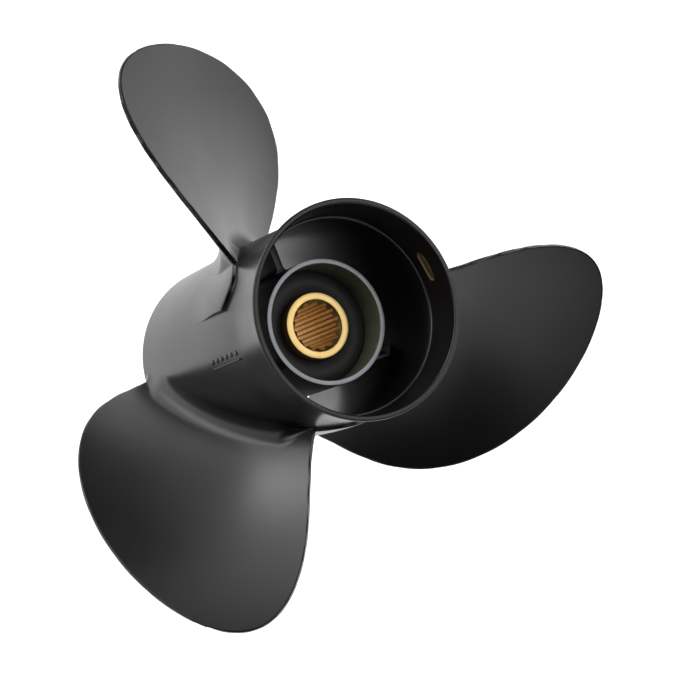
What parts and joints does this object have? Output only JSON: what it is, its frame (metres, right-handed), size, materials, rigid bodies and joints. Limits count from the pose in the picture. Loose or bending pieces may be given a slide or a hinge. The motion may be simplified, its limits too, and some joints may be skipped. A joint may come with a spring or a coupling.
{
  "type": "outboard motor propeller",
  "caption": "Outboard propeller with broad raked blades on a hollow hub that carries exhaust, and a splined brass sleeve held in a rubber bush.",
  "frame": {"origin": "on the shaft axis, in the plane of the barrel's front rim, where the propeller meets the gearcase", "axes": "+Z along the shaft, from the front rim to the aft exhaust ring; +X through the root of the first blade; the propeller turns clockwise seen from aft to drive ahead"},
  "size_m": [0.2877, 0.2974, 0.1682],
  "materials": {
    "painted_casting": "die-cast aluminium sprayed satin black",
    "coated_tube": "cast aluminium with a thin conversion coat, rim machined",
    "bush_rubber": "moulded, matt",
    "machined_brass": "turned and broached, unpolished"
  },
  "bodies": {
    "root": {"outer_barrel": "painted_casting", "exhaust_ring": "painted_casting", "inner_tube": "coated_tube", "rib_1": "painted_casting", "rib_2": "painted_casting", "rib_3": "painted_casting", "blade_1": "painted_casting", "blade_2": "painted_casting", "blade_3": "painted_casting", "rubber_bush": "bush_rubber", "brass_sleeve": "machined_brass"}
  },
  "joints": []
}
